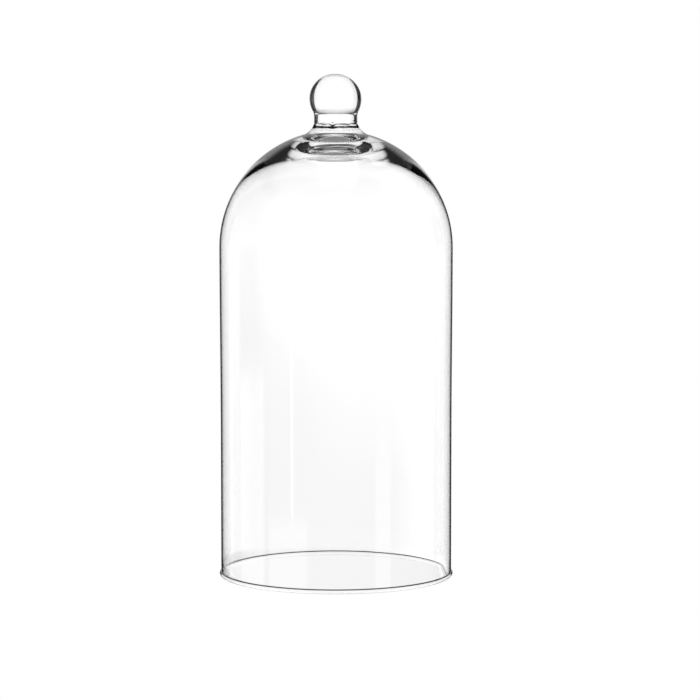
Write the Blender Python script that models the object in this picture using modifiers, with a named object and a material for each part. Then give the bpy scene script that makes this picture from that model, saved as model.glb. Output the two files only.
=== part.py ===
"""Glass bell jar dome: a blown body with a round crown, and a solid ball knob fused on top.

The body is a barely tapered tube closed by a hemispherical crown. Its wall is thin at the rim and
thickens towards the crown, where the knob's neck is fused on. The dome stands on its rim at
z = 0 with its axis on the world Z axis. Lengths are in metres, angles in degrees.
"""

import math

import bpy

# Facets: round each turned piece, and along the arcs of its profile
STEPS = 64
CROWN_SPANS = 14  # outside, and the same inside
FLARE_SPANS = 5
BEAD_SPANS = 4  # on each side of the resting flat
BALL_SPANS = 9  # from the ball's top to its widest line
NECK_SPANS = 3  # on the ball's underside and on each hollow curve below it

# Body, outside
BODY_R = 0.0924
CROWN_Z = 0.2609  # the wall ends here and the crown, a hemisphere of the same radius, begins
WALL_TAPER = 0.0006  # the wall is narrower by this much at the rim

# Body, inside: the wall is even in the tube and thickens smoothly towards the crown's middle
WALL = 0.00165
CROWN_EXTRA = 0.0102  # how much thicker the wall is at the crown's middle
CROWN_POWER = 4.3  # the extra falls off as this power of the cosine of the angle from the axis

# Rim: a bead left by fire polishing, with a narrow flat that the dome stands on
BEAD_R = 0.0913  # radius of the circle that the bead's middle follows
BEAD_SECTION_R = 0.0017
BEAD_Z = 0.00155

# Neck and knob
NECK_R = 0.01706
FLARE_R = 0.012  # hollow curve from the neck out to the crown
BALL_R = 0.0205
BALL_Z = 0.3778
BALL_RISE = 0.0194  # from the ball's widest line to its slightly flattened top
BALL_FILLET_R = 0.009  # hollow curve from the neck out to the ball
JOINT_Z = 0.3552  # the neck is fused to the body at this height
JOINT_GAP = 0.0003

SHARP_ANGLE = 40  # edges that turn by more than this stay crisp

GLASS_COLOUR = (0.97, 0.975, 0.972, 1.0)
GLASS_IOR = 1.5


def clear_scene():
    for item in list(bpy.data.objects):
        bpy.data.objects.remove(item, do_unlink=True)


def arc(centre, radius, start, end, spans, rise=None):
    """Points on an arc, measured from +X towards +Z; rise is its height if it's an ellipse."""
    points = []
    for i in range(spans + 1):
        angle = math.radians(start + (end - start) * i / spans)
        x = centre[0] + radius * math.cos(angle)
        z = centre[1] + (rise or radius) * math.sin(angle)
        points.append((x, z))
    return points


def leg(hypotenuse, side):
    """The other short side of a right triangle."""
    return math.sqrt(hypotenuse**2 - side**2)


def flare_centre():
    """Centre of the hollow curve that touches both the crown and the neck's straight side."""
    x = NECK_R + FLARE_R
    return x, CROWN_Z + leg(BODY_R + FLARE_R, x)


def flare_angle(z):
    """Where the hollow curve reaches the height z, between the neck at 180 and the crown."""
    return 180 + math.degrees(math.asin((flare_centre()[1] - z) / FLARE_R))


def outer_profile():
    """From the axis over the fused joint, down the flare, the crown and the wall to the bead."""
    flare_x, flare_z = flare_centre()
    crown_start = math.degrees(math.atan2(flare_z - CROWN_Z, flare_x))
    points = [(0.0, JOINT_Z)]
    points += arc((flare_x, flare_z), FLARE_R, flare_angle(JOINT_Z), 180 + crown_start, FLARE_SPANS)
    points += arc((0.0, CROWN_Z), BODY_R, crown_start, 0, CROWN_SPANS)[1:]
    return points


def rim_profile():
    """Round the bead's section, from the outer wall over the resting flat to the inner wall."""
    wall_r = BODY_R - WALL_TAPER
    outer = math.degrees(math.acos((wall_r - BEAD_R) / BEAD_SECTION_R))
    inner = math.degrees(math.acos((wall_r - WALL - BEAD_R) / BEAD_SECTION_R))
    flat = math.degrees(math.asin(BEAD_Z / BEAD_SECTION_R))
    points = arc((BEAD_R, BEAD_Z), BEAD_SECTION_R, outer, -flat, BEAD_SPANS)
    points += arc((BEAD_R, BEAD_Z), BEAD_SECTION_R, flat - 180, inner - 360, BEAD_SPANS)
    return points


def inner_profile():
    """Up the inner wall and over the hollow to the axis."""
    points = []
    for i in range(CROWN_SPANS + 1):
        angle = math.radians(90 * (1 - i / CROWN_SPANS))
        radius = BODY_R - WALL - CROWN_EXTRA * math.cos(angle) ** CROWN_POWER
        points.append((radius * math.sin(angle), CROWN_Z + radius * math.cos(angle)))
    points[-1] = (0.0, points[-1][1])
    return points


def knob_profile():
    """From the ball's top down its side to the neck, and along the joint to the axis."""
    fillet_x = NECK_R + BALL_FILLET_R
    fillet_z = BALL_Z - leg(BALL_R + BALL_FILLET_R, fillet_x)
    meet = math.degrees(math.asin((BALL_Z - fillet_z) / (BALL_R + BALL_FILLET_R)))
    bottom_z = JOINT_Z + JOINT_GAP
    points = arc((0.0, BALL_Z), BALL_R, 90, 0, BALL_SPANS, rise=BALL_RISE)
    points += arc((0.0, BALL_Z), BALL_R, 0, -meet, NECK_SPANS)[1:]
    points += arc((fillet_x, fillet_z), BALL_FILLET_R, 180 - meet, 180, NECK_SPANS)[1:]
    points += arc(flare_centre(), FLARE_R, 180, flare_angle(bottom_z), NECK_SPANS)
    points.append((0.0, bottom_z))
    return points


def glass(name):
    material = bpy.data.materials.new(name)
    material.use_nodes = True
    shader = material.node_tree.nodes["Principled BSDF"]
    shader.inputs["Base Color"].default_value = GLASS_COLOUR
    shader.inputs["Metallic"].default_value = 0.0
    shader.inputs["Roughness"].default_value = 0.0
    shader.inputs["IOR"].default_value = GLASS_IOR
    shader.inputs["Transmission Weight"].default_value = 1.0
    return material


def turned(name, profile, collection):
    """A solid turned about the Z axis from a profile that starts and ends on it."""
    outline = bpy.data.meshes.new(name + "_profile")
    edges = [(i, i + 1) for i in range(len(profile) - 1)]
    outline.from_pydata([(x, 0.0, z) for x, z in profile], edges, [])
    spun = bpy.data.objects.new(name + "_profile", outline)
    collection.objects.link(spun)
    screw = spun.modifiers.new("Turn", "SCREW")
    screw.axis = "Z"
    screw.angle = math.tau
    screw.steps = screw.render_steps = STEPS
    screw.use_merge_vertices = True
    screw.merge_threshold = 0.00001

    graph = bpy.context.evaluated_depsgraph_get()
    mesh = bpy.data.meshes.new_from_object(spun.evaluated_get(graph))
    bpy.data.objects.remove(spun)
    mesh.name = name
    mesh.shade_smooth()
    mesh.set_sharp_from_angle(angle=math.radians(SHARP_ANGLE))
    mesh.materials.append(glass(name + "_glass"))
    piece = bpy.data.objects.new(name, mesh)
    collection.objects.link(piece)
    return piece


def main():
    clear_scene()
    collection = bpy.data.collections.new("bell_jar_dome")
    bpy.context.scene.collection.children.link(collection)
    body_profile = outer_profile() + rim_profile() + inner_profile()
    turned("dome_shell", body_profile, collection)
    turned("knob", knob_profile(), collection)


main()
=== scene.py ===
"""Looks for the glass bell jar dome: clear blown glass on a white ground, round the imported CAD.

Two pieces of clear glass stand for the two CAD nodes. They meet face to face inside the neck,
where a fully clear finish makes the join vanish, as it does where hot glass was fused to hot
glass. Lengths are in metres and angles in degrees, unless a name or a comment says otherwise.
"""

import math

import bpy
import numpy as np
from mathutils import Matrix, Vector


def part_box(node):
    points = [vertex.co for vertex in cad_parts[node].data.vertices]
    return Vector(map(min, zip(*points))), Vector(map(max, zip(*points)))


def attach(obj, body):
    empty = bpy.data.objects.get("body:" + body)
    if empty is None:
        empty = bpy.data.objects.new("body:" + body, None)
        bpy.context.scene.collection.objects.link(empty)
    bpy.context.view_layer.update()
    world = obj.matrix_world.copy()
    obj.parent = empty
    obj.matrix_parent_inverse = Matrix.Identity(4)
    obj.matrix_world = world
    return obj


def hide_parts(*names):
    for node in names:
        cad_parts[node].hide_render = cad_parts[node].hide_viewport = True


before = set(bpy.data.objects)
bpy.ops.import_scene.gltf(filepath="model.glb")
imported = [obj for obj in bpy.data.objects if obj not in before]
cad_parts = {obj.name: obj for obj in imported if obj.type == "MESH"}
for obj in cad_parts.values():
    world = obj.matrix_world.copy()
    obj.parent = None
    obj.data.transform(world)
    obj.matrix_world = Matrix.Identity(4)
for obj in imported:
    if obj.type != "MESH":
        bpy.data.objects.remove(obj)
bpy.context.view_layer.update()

dome_low, dome_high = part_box("dome_shell")
knob_low, knob_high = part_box("knob")

# Mesh density: points round each piece, rings of points up it, and spans along its smaller arcs
SEGMENTS = 240
WALL_RINGS = 30
CROWN_RINGS = 100
HOLLOW_RINGS = 110
FLARE_SPANS = 40
BEAD_SPANS = 14  # on each side of the resting flat
BALL_SPANS = 70  # from the ball's top to its widest line
BALL_UNDER_SPANS = 26
BALL_FILLET_SPANS = 20
NECK_SPANS = 30
SHARP_ANGLE = 50  # edges that turn by more than this stay crisp

# Body: the straight wall and the round crown, which share one radius
BEAD_PROUD = 0.0006  # how much wider the rim's bead is than the crown, in radius
BODY_R = (dome_high.x - dome_low.x) / 2 - BEAD_PROUD
JOINT_Z = (dome_high.z + knob_low.z) / 2
JOINT_RISE = 0.0943  # from the crown's centre up to the top of the body
CROWN_Z = dome_high.z - JOINT_RISE
WALL = 0.00165
WALL_OUTSIDE_LOW = 0.006  # the lowest of the evenly spaced rings outside, and inside
WALL_INSIDE_LOW = 0.0042
CROWN_EXTRA = 0.0102  # how much thicker the wall is at the crown's middle
CROWN_POWER = 4.3  # the extra falls off as this power of the cosine of the angle from the axis
WALL_TAPER = 0.0006  # the wall narrows by this much from the crown down to the height below
TAPER_TO_Z = 0.12
# The glass is thicker towards +X and thinner towards -X, by this much at the wall, and by this
# much more at the shoulder
UNEVEN_WALL = 0.00048
UNEVEN_SHOULDER = 0.00065

# Rim bead
BEAD_SECTION_R = 0.0017
BEAD_R = BODY_R + BEAD_PROUD - BEAD_SECTION_R
BEAD_Z = 0.00155
RIM_PAINTED_SHADE_TOP = 0.0036  # the painted shade, a near-black band over the bead's upper edge, starts here
RIM_PAINTED_SHADE_RINGS = 4  # and covers this many rings of faces below
# Painted shade: a near-black glass colour standing in for the dark line over the bead's upper edge
RIM_PAINTED_SHADE_COLOUR = (0.01, 0.01, 0.01, 1.0)

# Neck and ball
NECK_R = 0.01706
FLARE_R = 0.012
BALL_R = (knob_high.x - knob_low.x) / 2
BALL_RISE = 0.0194
BALL_Z = knob_high.z - BALL_RISE
BALL_FILLET_R = 0.009
LEAN_FROM_Z = 0.345  # the neck starts to lean here
BALL_LEAN = 0.00045  # the ball's middle sits this far towards -X

# Two fine grooves where the ball's neck was fused on: (height, depth, wander)
SEAMS = ((0.3584, 0.0004, 0.0004), (0.3545, 0.00012, -0.0002))
SEAM_HALF_WIDTH = 0.0007
SEAM_UNEVENNESS = 0.4  # the share by which the grooves' depth varies
SEAM_WAVE_ORDERS = (1, 2, 3, 5, 8, 13)
SEAM_DEPTH_ORDERS = (1, 2, 4, 7, 11)
# The scar where the grooves dip
SCAR_AZIMUTH = 262
SCAR_HALF_WIDTH = 7
SCAR_DROP = 0.0012
# The neck's faint ripples
NECK_MIDDLE_Z = 0.360
NECK_RIPPLE_SPAN = 0.006
NECK_RIPPLE = 0.0001
NECK_RIPPLE_RATES = (3, 4)  # radians for each ripple span of height
NECK_WAVE_ORDERS = (2, 3, 5, 7, 9)
WAVE_WEIGHTS = (0.5, 1)  # least and most that one order counts
SEAM_SEED = 3
SEAM_DEPTH_SEED = 5
NECK_SEEDS = (11, 12)

# Glass
GLASS_COLOUR = (0.985, 0.985, 0.985, 1.0)
GLASS_IOR = 1.5
RIPPLE_SCALE = 26.0  # broad, very shallow ripples that a blown surface keeps
RIPPLE_DETAIL = 2.0
RIPPLE_HEIGHT = 0.00003
FACING_BLEND = 0.5
# Painted shade: how the glass's colour darkens where it is seen edge on, standing in for the dark
# outline that bent light gives clear glass: (Layer Weight facing, tone)
PAINTED_EDGE_SHADE = ((0.35, 0.985), (0.6, 0.975), (0.7, 0.92), (0.76, 0.78), (0.8, 0.5), (0.84, 0.004))

# Camera
CAMERA_PLACE = (0.0, -1.9, 0.3307)
CAMERA_DOWN = 4.558
CAMERA_TURN = -0.332
CAMERA_LENS = 123.45
CAMERA_SENSOR = 36.0

# Light paths
GLASS_BOUNCES = 32
OTHER_BOUNCES = 16

# Floor
FLOOR_SIDES = 96
FLOOR_R = 0.14
FLOOR_SOFT_FROM = 0.1

# Studio: brightness by direction, in degrees. Rise is a direction's angle above the horizon. Turn
# is its angle round from the backdrop's middle (+Y), positive towards +X, and aside is turn without
# its sign. A window is (low, high, softness) and an edge is (middle, softness).
LOWEST = -99  # lower than any direction's rise
HIGHEST = 99
STUDIO_DARK = 0.02
CEILING_GREY = 0.27
CEILING_RISE = (47, HIGHEST, 4)
GROUND_WHITE = 1.1

# The backdrop between dark sides, as the thick glass shows it
BACKDROP_RISE = (LOWEST, 24, 9)
BACKDROP_SIDES = 0.9
BACKDROP_SIDES_EDGE = (37, 9)

# What the thick glass gathers
GATHERED_TURN = (-46, 47, 4)
GATHERED_FRONT = 0.25
GATHERED_FRONT_RISE = (-25, -2.0, 1.5)

# What shows straight through solid glass
CLEAR_TURN = (-46, 43.5, 1.7)
CLEAR_ROOM_EDGE = (72, 6)
CLEAR_ROOM_RISE = (LOWEST, 45, 10)

# What shows through both walls
BEYOND_RISE = (LOWEST, 40, 5)
BEYOND_LOW = 1.1
BEYOND_HIGH = 1.18
BEYOND_HIGH_EDGE = (-4.5, 3)
BEYOND_ASIDE = 0.26  # added away from the middle
BEYOND_ASIDE_EDGE = (3.2, 1.2)

# The backdrop that the outside mirrors. Its half width grows with rise, and so does that of its
# dimmer middle, which is painted only half as strongly.
MIRROR_EDGE = (11.0, 2.5)
MIRROR_WIDENS = 0.55
MIRROR_RISE = (LOWEST, 30, 6)
MIRROR_MIDDLE = 0.5
MIRROR_MIDDLE_EDGE = (0, 1.5)
MIRROR_MIDDLE_HALF_TURN = 3.7
MIRROR_MIDDLE_WIDENS = 0.8

# Table tops and panels round the sides, painted one over another: (brightness, rise, turn)
SIDE_PANELS = (
    (1.1, (LOWEST, 0.0, 3), (-70, -48, 4)),
    (1.7, (LOWEST, -5.5, 0.6), (-104, -70, 3)),
    (0.9, (-1.5, 37, 4), (-104, -54, 5)),
    (0.66, (LOWEST, 0.0, 3), (48, 90, 12)),
    (1.1, (LOWEST, -8.6, 0.3), (-151, -110, 1.5)),
)

# The front of the studio, pale above a horizon that slopes and curves with the direction's x,
# which is from -1 to 1
FRONT_GLOW = 1.5
FRONT_EDGE = (100, 12)
FRONT_RISE = (LOWEST, 45, 8)
FRONT_SLOPE = 1.3
FRONT_CURVE = 1.1
FRONT_HORIZON = (-6.3, 1.5)

# A thin bright strip and a soft panel in the front: (brightness, rise, turn)
FRONT_PANELS = (
    (2.2, (-8.6, 20, 0.5), (-137.5, -134.5, 0.5)),
    (1.2, (-20, -5, 2), (125, 141, 1.5)),
)

# The lamp overhead, a rectangle in the direction's x and y
OVERHEAD_GLOW = 2.0
OVERHEAD_X = (-0.21, 0.26, 0.02)
OVERHEAD_Y = (-0.4, 0.1, 0.05)
OVERHEAD_EDGE = (60, 5)

# Depths that part the light paths, halfway between whole numbers
OUTSIDE_BELOW = 0.5  # no glass surface crossed yet
BEYOND_ABOVE = 2.5  # three or more crossed
STRAIGHT_BELOW = 0.5  # mirrored nowhere on the way


# ---------------------------------------------------------------- profiles


def arc(centre, radius, start, end, spans, rise=None):
    """Points on an arc, measured from +X towards +Z; rise is its height if it's an ellipse."""
    angles = np.radians(np.linspace(start, end, spans + 1))
    x = centre[0] + radius * np.cos(angles)
    z = centre[1] + (rise or radius) * np.sin(angles)
    return np.stack([x, z], 1)


def leg(hypotenuse, side):
    """The other short side of a right triangle."""
    return math.sqrt(hypotenuse**2 - side**2)


FLARE_X = NECK_R + FLARE_R
FLARE_Z = CROWN_Z + leg(BODY_R + FLARE_R, FLARE_X)


def flare_angle(z):
    """Where the neck's hollow curve reaches the height z."""
    return 180 + math.degrees(math.asin((FLARE_Z - z) / FLARE_R))


def taper(z):
    """How much narrower the wall is than the crown at a height."""
    down = np.clip((CROWN_Z - z) / (CROWN_Z - TAPER_TO_Z), 0, 1)
    return WALL_TAPER * down * down * (3 - 2 * down)


def body_outside():
    """From the fused joint down the flare, the crown and the wall to the rim's painted dark line.
    """
    crown_start = math.degrees(math.atan2(FLARE_Z - CROWN_Z, FLARE_X))
    flare_start = flare_angle(JOINT_Z)
    flare = arc((FLARE_X, FLARE_Z), FLARE_R, flare_start, 180 + crown_start, FLARE_SPANS)
    crown = arc((0.0, CROWN_Z), BODY_R, crown_start, 0, CROWN_RINGS)[1:]
    heights = np.linspace(CROWN_Z, WALL_OUTSIDE_LOW, WALL_RINGS)[1:]
    heights = np.append(heights, RIM_PAINTED_SHADE_TOP)
    wall = np.stack([BODY_R - taper(heights), heights], 1)
    return np.concatenate([flare, crown, wall])


def rim_round():
    """Round the bead's section, from the outer wall over the resting flat to the inner wall."""
    wall_r = BODY_R - WALL_TAPER
    outer = math.degrees(math.acos((wall_r - BEAD_R) / BEAD_SECTION_R))
    inner = math.degrees(math.acos((wall_r - WALL - BEAD_R) / BEAD_SECTION_R))
    flat = math.degrees(math.asin(BEAD_Z / BEAD_SECTION_R))
    centre = (BEAD_R, BEAD_Z)
    outside = arc(centre, BEAD_SECTION_R, outer, -flat, BEAD_SPANS)
    inside = arc(centre, BEAD_SECTION_R, flat - 180, inner - 360, BEAD_SPANS)
    return np.concatenate([outside, inside])


def knob_outside():
    """From just under the ball's top down its side and the neck to the fused joint."""
    fillet_x = NECK_R + BALL_FILLET_R
    fillet_z = BALL_Z - leg(BALL_R + BALL_FILLET_R, fillet_x)
    meet = math.degrees(math.asin((BALL_Z - fillet_z) / (BALL_R + BALL_FILLET_R)))
    ball = arc((0.0, BALL_Z), BALL_R, 90, 0, BALL_SPANS, rise=BALL_RISE)[1:]
    under = arc((0.0, BALL_Z), BALL_R, 0, -meet, BALL_UNDER_SPANS)[1:]
    fillet = arc((fillet_x, fillet_z), BALL_FILLET_R, 180 - meet, 180, BALL_FILLET_SPANS)[1:]
    neck = arc((FLARE_X, FLARE_Z), FLARE_R, 180, flare_angle(JOINT_Z), NECK_SPANS)
    return np.concatenate([ball, under, fillet, neck])


# ---------------------------------------------------------------- hand-made unevenness

AZIMUTHS = np.linspace(0, math.tau, SEGMENTS, endpoint=False)
COS, SIN = np.cos(AZIMUTHS), np.sin(AZIMUTHS)


def waves(seed, orders):
    """A smooth closed curve round the piece, about -1 to 1."""
    source = np.random.default_rng(seed)
    total = np.zeros(SEGMENTS)
    for order in orders:
        crests = np.cos(order * AZIMUTHS + source.uniform(0, math.tau))
        total += crests * source.uniform(*WAVE_WEIGHTS)
    return total / math.sqrt(len(orders))


SCAR = np.exp(-(((AZIMUTHS - math.radians(SCAR_AZIMUTH)) / math.radians(SCAR_HALF_WIDTH)) ** 2))
SEAM_WAVES = waves(SEAM_SEED, SEAM_WAVE_ORDERS)
SEAM_UNEVEN = 1 + SEAM_UNEVENNESS * waves(SEAM_DEPTH_SEED, SEAM_DEPTH_ORDERS)
NECK_WAVES = [waves(seed, NECK_WAVE_ORDERS) for seed in NECK_SEEDS]


def seam(z):
    """How far the fused neck's grooves and ripples draw the surface in, at each azimuth."""
    groove = 0.0
    for seam_z, depth, wander in SEAMS:
        path = seam_z + wander * SEAM_WAVES - SCAR_DROP * SCAR
        groove += depth * SEAM_UNEVEN * np.exp(-(((z - path) / SEAM_HALF_WIDTH) ** 2))
    along = (z - NECK_MIDDLE_Z) / NECK_RIPPLE_SPAN
    slow, fast = NECK_RIPPLE_RATES
    ripple = NECK_WAVES[0] * math.cos(slow * along) + NECK_WAVES[1] * math.sin(fast * along)
    return groove + NECK_RIPPLE * ripple * math.exp(-(along**2))


def lean(z):
    """The knob's lean at a height, along X."""
    return -BALL_LEAN * max(0.0, (z - LEAN_FROM_Z) / (BALL_Z - LEAN_FROM_Z))


def outer_ring(x, z):
    """A ring of the outside, drawn in at the seam and leaning with the knob."""
    radius = x - seam(z)
    return np.stack([radius * COS + lean(z), radius * SIN, np.full(SEGMENTS, z)], 1)


def uneven(angle):
    """How much thicker the glass is towards +X; the angle is from the axis, in radians."""
    rise, shoulder = math.sin(angle), math.sin(2 * angle)
    return (UNEVEN_WALL * rise**2 + UNEVEN_SHOULDER * shoulder**2 * rise) * COS


def inner_ring(angle):
    """A ring of the hollow over the wall; the angle is from the axis at the crown's centre."""
    radius = BODY_R - WALL - CROWN_EXTRA * math.cos(angle) ** CROWN_POWER - uneven(angle)
    across = radius * math.sin(angle)
    return np.stack([across * COS, across * SIN, CROWN_Z + radius * math.cos(angle)], 1)


def inner_wall_ring(z):
    """A ring of the wall's inside at a height."""
    radius = BODY_R - taper(z) - WALL - uneven(math.pi / 2)
    return np.stack([radius * COS, radius * SIN, np.full(SEGMENTS, z)], 1)


# ---------------------------------------------------------------- meshes


def closed_body(name, rings, start, end):
    """A closed mesh through rings of points, from the pole at start to the pole at end."""
    points = np.concatenate([[start]] + rings + [[end]])
    last = len(points) - 1
    here = np.arange(SEGMENTS)
    after = (here + 1) % SEGMENTS
    faces = [(0, 1 + a, 1 + b) for a, b in zip(here, after)]
    for i in range(len(rings) - 1):
        top, low = 1 + i * SEGMENTS, 1 + (i + 1) * SEGMENTS
        faces += [(top + a, low + a, low + b, top + b) for a, b in zip(here, after)]
    base = 1 + (len(rings) - 1) * SEGMENTS
    faces += [(base + b, base + a, last) for a, b in zip(here, after)]
    mesh = bpy.data.meshes.new(name)
    mesh.from_pydata(points.tolist(), [], faces)
    mesh.shade_smooth()
    mesh.set_sharp_from_angle(angle=math.radians(SHARP_ANGLE))
    piece = bpy.data.objects.new(name, mesh)
    bpy.context.scene.collection.objects.link(piece)
    return piece


def make_dome():
    """The body: over its outside and round the bead, then up its inside to the hollow's top."""
    rings = [outer_ring(x, z) for x, z in body_outside()]
    rings += [outer_ring(x, z) for x, z in rim_round()]
    heights = np.linspace(WALL_INSIDE_LOW, CROWN_Z, WALL_RINGS)
    rings += [inner_wall_ring(z) for z in heights[:-1]]
    angles = np.radians(np.linspace(90, 0, HOLLOW_RINGS))
    rings += [inner_ring(angle) for angle in angles[:-1]]
    apex = inner_ring(0.0)[0]
    return closed_body("dome", rings, (lean(JOINT_Z), 0.0, JOINT_Z), apex)


def make_knob():
    rings = [outer_ring(x, z) for x, z in knob_outside()]
    top_z = BALL_Z + BALL_RISE
    return closed_body("knob_ball", rings, (lean(top_z), 0.0, top_z), (lean(JOINT_Z), 0.0, JOINT_Z))


# ---------------------------------------------------------------- materials


def node(tree, kind, **settings):
    made = tree.nodes.new(kind)
    for name, value in settings.items():
        setattr(made, name, value)
    return made


def glass(name, colour=GLASS_COLOUR):
    """Clear blown glass with very shallow ripples."""
    material = bpy.data.materials.new(name)
    material.use_nodes = True
    tree = material.node_tree
    shader = tree.nodes["Principled BSDF"]
    shader.inputs["Base Color"].default_value = colour
    shader.inputs["Roughness"].default_value = 0.0
    shader.inputs["IOR"].default_value = GLASS_IOR
    shader.inputs["Transmission Weight"].default_value = 1.0

    place = node(tree, "ShaderNodeTexCoord")
    ripples = node(tree, "ShaderNodeTexNoise")
    ripples.inputs["Scale"].default_value = RIPPLE_SCALE
    ripples.inputs["Detail"].default_value = RIPPLE_DETAIL
    relief = node(tree, "ShaderNodeBump")
    relief.inputs["Strength"].default_value = 1.0
    relief.inputs["Distance"].default_value = RIPPLE_HEIGHT
    tree.links.new(place.outputs["Object"], ripples.inputs["Vector"])
    tree.links.new(ripples.outputs["Fac"], relief.inputs["Height"])
    tree.links.new(relief.outputs["Normal"], shader.inputs["Normal"])
    return material


def glass_with_painted_edge_shade(name):
    """Glass with painted shade: its colour darkens towards its outline, standing in for the dark
    edge that a clear vessel shows against a white ground.
    """
    material = glass(name)
    tree = material.node_tree
    weight = node(tree, "ShaderNodeLayerWeight")
    weight.inputs["Blend"].default_value = FACING_BLEND
    ramp = node(tree, "ShaderNodeValToRGB")
    stops = ramp.color_ramp.elements
    for i, (facing, tone) in enumerate(PAINTED_EDGE_SHADE):
        stop = stops[i] if i < 2 else stops.new(facing)  # a new ramp has two stops
        stop.position = facing
        stop.color = (tone, tone, tone, 1.0)
    tree.links.new(weight.outputs["Facing"], ramp.inputs["Fac"])
    # the ramp paints the edge shade into the base colour by facing
    tree.links.new(ramp.outputs["Color"], tree.nodes["Principled BSDF"].inputs["Base Color"])
    return material


def clear_join():
    """Nothing to see: the faces where the two pieces are fused."""
    material = bpy.data.materials.new("clear_join")
    material.use_nodes = True
    tree = material.node_tree
    tree.nodes.clear()
    out = node(tree, "ShaderNodeOutputMaterial")
    clear = node(tree, "ShaderNodeBsdfTransparent")
    tree.links.new(clear.outputs["BSDF"], out.inputs["Surface"])
    return material


def finish_piece(piece, bands, cad_node):
    """bands are (first ring of faces, material), from the mesh's start to its end."""
    looks = np.zeros(len(piece.data.polygons), dtype=int)
    for i, (first_ring, material) in enumerate(bands):
        piece.data.materials.append(material)
        looks[first_ring * SEGMENTS :] = i
    piece.data.polygons.foreach_set("material_index", looks)
    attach(piece, "root")
    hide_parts(cad_node)


# ---------------------------------------------------------------- studio


class Studio:
    """Builds the world's brightness from windows and edges, painted by direction."""

    def __init__(self):
        world = bpy.data.worlds.new("studio")
        bpy.context.scene.world = world
        world.use_nodes = True
        self.tree = world.node_tree
        self.tree.nodes.clear()
        place = node(self.tree, "ShaderNodeTexCoord")
        split = node(self.tree, "ShaderNodeSeparateXYZ")
        self.tree.links.new(place.outputs["Generated"], split.inputs["Vector"])
        self.x, self.y, z = split.outputs
        self.rise = self.maths("DEGREES", self.maths("ARCSINE", z))
        self.turn = self.maths("DEGREES", self.maths("ARCTAN2", self.x, self.y))
        self.aside = self.maths("ABSOLUTE", self.turn)

    def put(self, value, socket):
        if isinstance(value, (int, float)):
            socket.default_value = value
        else:
            self.tree.links.new(value, socket)

    def maths(self, operation, *values):
        made = node(self.tree, "ShaderNodeMath", operation=operation)
        for value, socket in zip(values, made.inputs):
            self.put(value, socket)
        return made.outputs["Value"]

    def times(self, first, *others):
        for other in others:
            first = self.maths("MULTIPLY", first, other)
        return first

    def step(self, value, middle, soft):
        """0 below an edge and 1 above it."""
        made = node(self.tree, "ShaderNodeMapRange", interpolation_type="SMOOTHSTEP")
        self.put(value, made.inputs["Value"])
        made.inputs["From Min"].default_value = middle - soft
        made.inputs["From Max"].default_value = middle + soft
        return made.outputs["Result"]

    def window(self, value, low, high, soft):
        """1 between low and high, and 0 outside them."""
        above = self.step(value, low, soft)
        below = self.maths("SUBTRACT", 1.0, self.step(value, high, soft))
        return self.times(above, below)

    def mix(self, factor, under, over):
        made = node(self.tree, "ShaderNodeMix", data_type="FLOAT")
        self.put(factor, made.inputs["Factor"])
        self.put(under, made.inputs["A"])
        self.put(over, made.inputs["B"])
        return made.outputs["Result"]

    def panel(self, under, brightness, rise, turn=None):
        """Paints a brightness over what is under it, in a window of rise and one of turn."""
        shape = self.window(self.rise, *rise)
        if turn:
            shape = self.times(shape, self.window(self.turn, *turn))
        return self.mix(shape, under, brightness)

    def finish(self, brightness):
        ground = node(self.tree, "ShaderNodeBackground")
        self.tree.links.new(brightness, ground.inputs["Color"])
        out = node(self.tree, "ShaderNodeOutputWorld")
        self.tree.links.new(ground.outputs["Background"], out.inputs["Surface"])


def backdrop_light(studio, ceiling, turn):
    """The backdrop between dark sides, in a window of turn."""
    sides = studio.step(studio.aside, *BACKDROP_SIDES_EDGE)
    backdrop = studio.mix(sides, GROUND_WHITE, BACKDROP_SIDES)
    return studio.panel(ceiling, backdrop, BACKDROP_RISE, turn)


def gathered_light(studio, ceiling):
    """What the thick glass gathers: the backdrop, and a faint low front."""
    tone = backdrop_light(studio, ceiling, GATHERED_TURN)
    low = studio.window(studio.rise, *GATHERED_FRONT_RISE)
    front = studio.times(low, studio.step(studio.aside, *FRONT_EDGE))
    return studio.mix(front, tone, GATHERED_FRONT)


def clear_light(studio, ceiling):
    """What shows straight through solid glass: the backdrop, and a pale room past its sides."""
    tone = backdrop_light(studio, ceiling, CLEAR_TURN)
    room = studio.step(studio.aside, *CLEAR_ROOM_EDGE)
    room = studio.times(room, studio.window(studio.rise, *CLEAR_ROOM_RISE))
    return studio.mix(room, tone, GROUND_WHITE)


def beyond_light(studio, ceiling):
    """What shows through both walls: a backdrop that is dimmer low down and in the middle."""
    brighter = studio.times(studio.step(studio.aside, *BEYOND_ASIDE_EDGE), BEYOND_ASIDE)
    backdrop = studio.step(studio.rise, *BEYOND_HIGH_EDGE)
    backdrop = studio.mix(backdrop, BEYOND_LOW, BEYOND_HIGH)
    backdrop = studio.maths("ADD", backdrop, brighter)
    return studio.panel(ceiling, backdrop, BEYOND_RISE)


def mirrored_backdrop(studio):
    """Where the outside mirrors the backdrop, and how strongly."""
    wider = studio.times(studio.rise, MIRROR_WIDENS)
    narrow = studio.maths("SUBTRACT", studio.aside, wider)
    backdrop = studio.maths("SUBTRACT", 1.0, studio.step(narrow, *MIRROR_EDGE))
    backdrop = studio.times(backdrop, studio.window(studio.rise, *MIRROR_RISE))

    middle = studio.maths(
        "MULTIPLY_ADD", studio.rise, MIRROR_MIDDLE_WIDENS, MIRROR_MIDDLE_HALF_TURN
    )
    beside = studio.step(studio.maths("SUBTRACT", studio.aside, middle), *MIRROR_MIDDLE_EDGE)
    return studio.times(backdrop, studio.mix(beside, MIRROR_MIDDLE, 1.0))


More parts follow.
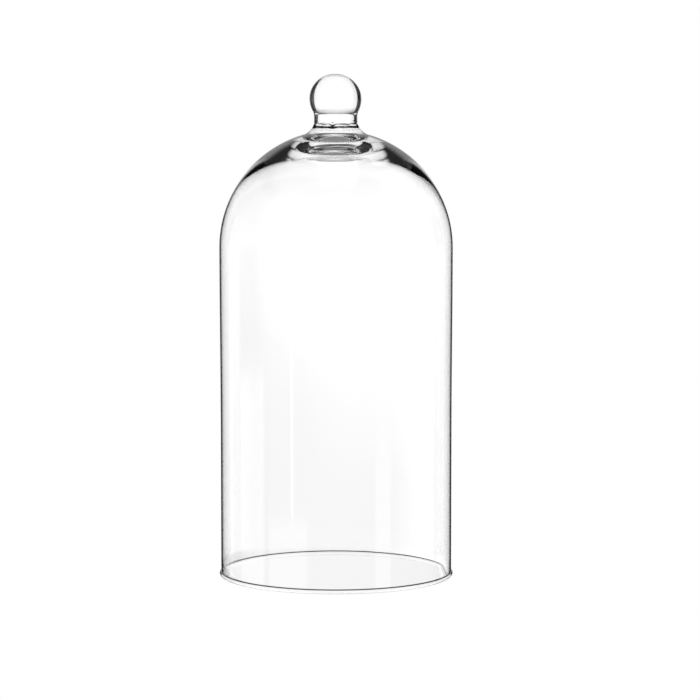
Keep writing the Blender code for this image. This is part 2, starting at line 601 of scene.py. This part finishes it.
def mirrored_front(studio):
    """Where the outside mirrors the pale front, above its sloping, curved horizon."""
    horizon = studio.maths("MULTIPLY_ADD", studio.x, FRONT_SLOPE, studio.rise)
    curve = studio.times(studio.x, studio.x)
    horizon = studio.maths("MULTIPLY_ADD", curve, -FRONT_CURVE, horizon)
    above = studio.step(horizon, *FRONT_HORIZON)
    front = studio.step(studio.aside, *FRONT_EDGE)
    return studio.times(front, above, studio.window(studio.rise, *FRONT_RISE))


def overhead_lamp(studio):
    """Where the lamp overhead shows."""
    along_x = studio.window(studio.x, *OVERHEAD_X)
    along_y = studio.window(studio.y, *OVERHEAD_Y)
    return studio.times(along_x, along_y, studio.step(studio.rise, *OVERHEAD_EDGE))


def mirrored_light(studio, ceiling):
    """What the outside mirrors of the whole studio."""
    tone = studio.mix(mirrored_backdrop(studio), ceiling, GROUND_WHITE)
    for brightness, rise, turn in SIDE_PANELS:
        tone = studio.panel(tone, brightness, rise, turn)
    tone = studio.mix(mirrored_front(studio), tone, FRONT_GLOW)
    for brightness, rise, turn in FRONT_PANELS:
        tone = studio.panel(tone, brightness, rise, turn)
    return studio.mix(overhead_lamp(studio), tone, OVERHEAD_GLOW)


def make_studio():
    """The camera sees a plain white ground, and the glass shows the studio round it."""
    studio = Studio()
    ceiling = studio.panel(STUDIO_DARK, CEILING_GREY, CEILING_RISE)
    gathered = gathered_light(studio, ceiling)
    mirrored = mirrored_light(studio, ceiling)
    clear = clear_light(studio, ceiling)
    beyond = beyond_light(studio, ceiling)

    light = node(studio.tree, "ShaderNodeLightPath")
    crossed = light.outputs["Transmission Depth"]
    outside = studio.maths("LESS_THAN", crossed, OUTSIDE_BELOW)
    through = studio.maths("GREATER_THAN", crossed, BEYOND_ABOVE)
    straight = studio.maths("LESS_THAN", light.outputs["Glossy Depth"], STRAIGHT_BELOW)
    tone = studio.mix(straight, gathered, studio.mix(through, clear, beyond))
    tone = studio.mix(outside, tone, mirrored)
    tone = studio.mix(light.outputs["Is Camera Ray"], tone, 1.0)
    studio.finish(tone)


def floor_white():
    """White in the middle and clear at the edge, and clear to light that the glass mirrors."""
    material = bpy.data.materials.new("floor_white")
    material.use_nodes = True
    tree = material.node_tree
    tree.nodes.clear()
    out = node(tree, "ShaderNodeOutputMaterial")
    glow = node(tree, "ShaderNodeEmission")
    glow.inputs["Strength"].default_value = 1.0
    clear = node(tree, "ShaderNodeBsdfTransparent")
    place = node(tree, "ShaderNodeTexCoord")
    distance = node(tree, "ShaderNodeVectorMath", operation="LENGTH")
    tree.links.new(place.outputs["Object"], distance.inputs[0])
    fade = node(tree, "ShaderNodeMapRange", interpolation_type="SMOOTHSTEP")
    fade.inputs["From Min"].default_value = FLOOR_SOFT_FROM
    fade.inputs["From Max"].default_value = FLOOR_R
    tree.links.new(distance.outputs["Value"], fade.inputs["Value"])
    light = node(tree, "ShaderNodeLightPath")
    either = node(tree, "ShaderNodeMath", operation="MAXIMUM")
    tree.links.new(fade.outputs["Result"], either.inputs[0])
    tree.links.new(light.outputs["Glossy Depth"], either.inputs[1])
    mix = node(tree, "ShaderNodeMixShader")
    tree.links.new(either.outputs["Value"], mix.inputs["Fac"])
    tree.links.new(glow.outputs["Emission"], mix.inputs[1])
    tree.links.new(clear.outputs["BSDF"], mix.inputs[2])
    tree.links.new(mix.outputs["Shader"], out.inputs["Surface"])
    return material


def make_floor():
    """A pale ground whose far edge fades softly into the white backdrop."""
    bpy.ops.mesh.primitive_circle_add(vertices=FLOOR_SIDES, radius=FLOOR_R, fill_type="NGON")
    floor = bpy.context.object
    floor.name = "floor"
    floor.location.z = dome_low.z
    floor.data.materials.append(floor_white())


def make_camera():
    data = bpy.data.cameras.new("camera")
    data.lens = CAMERA_LENS
    data.sensor_width = CAMERA_SENSOR
    camera = bpy.data.objects.new("camera", data)
    camera.location = CAMERA_PLACE
    camera.rotation_euler = (math.radians(90 - CAMERA_DOWN), 0, math.radians(CAMERA_TURN))
    bpy.context.scene.collection.objects.link(camera)
    bpy.context.scene.camera = camera


def set_light_paths():
    """Glass needs many bounces, and plain whites need the plain view transform."""
    scene = bpy.context.scene
    scene.view_settings.view_transform = "Standard"
    scene.cycles.max_bounces = GLASS_BOUNCES
    scene.cycles.transmission_bounces = GLASS_BOUNCES
    scene.cycles.glossy_bounces = OTHER_BOUNCES
    scene.cycles.transparent_max_bounces = OTHER_BOUNCES


join = clear_join()
wall_rings = len(body_outside())
dome_bands = (
    (0, join),
    (1, glass_with_painted_edge_shade("dome_outer_glass")),
    # the rim's band of near-black glass is painted shade
    (wall_rings, glass("rim_painted_shade_glass", RIM_PAINTED_SHADE_COLOUR)),
    (wall_rings + RIM_PAINTED_SHADE_RINGS, glass("dome_inner_glass")),
)
knob_bands = ((0, glass_with_painted_edge_shade("knob_glass")), (len(knob_outside()), join))
finish_piece(make_dome(), dome_bands, "dome_shell")
finish_piece(make_knob(), knob_bands, "knob")
make_floor()
make_studio()
make_camera()
set_light_paths()
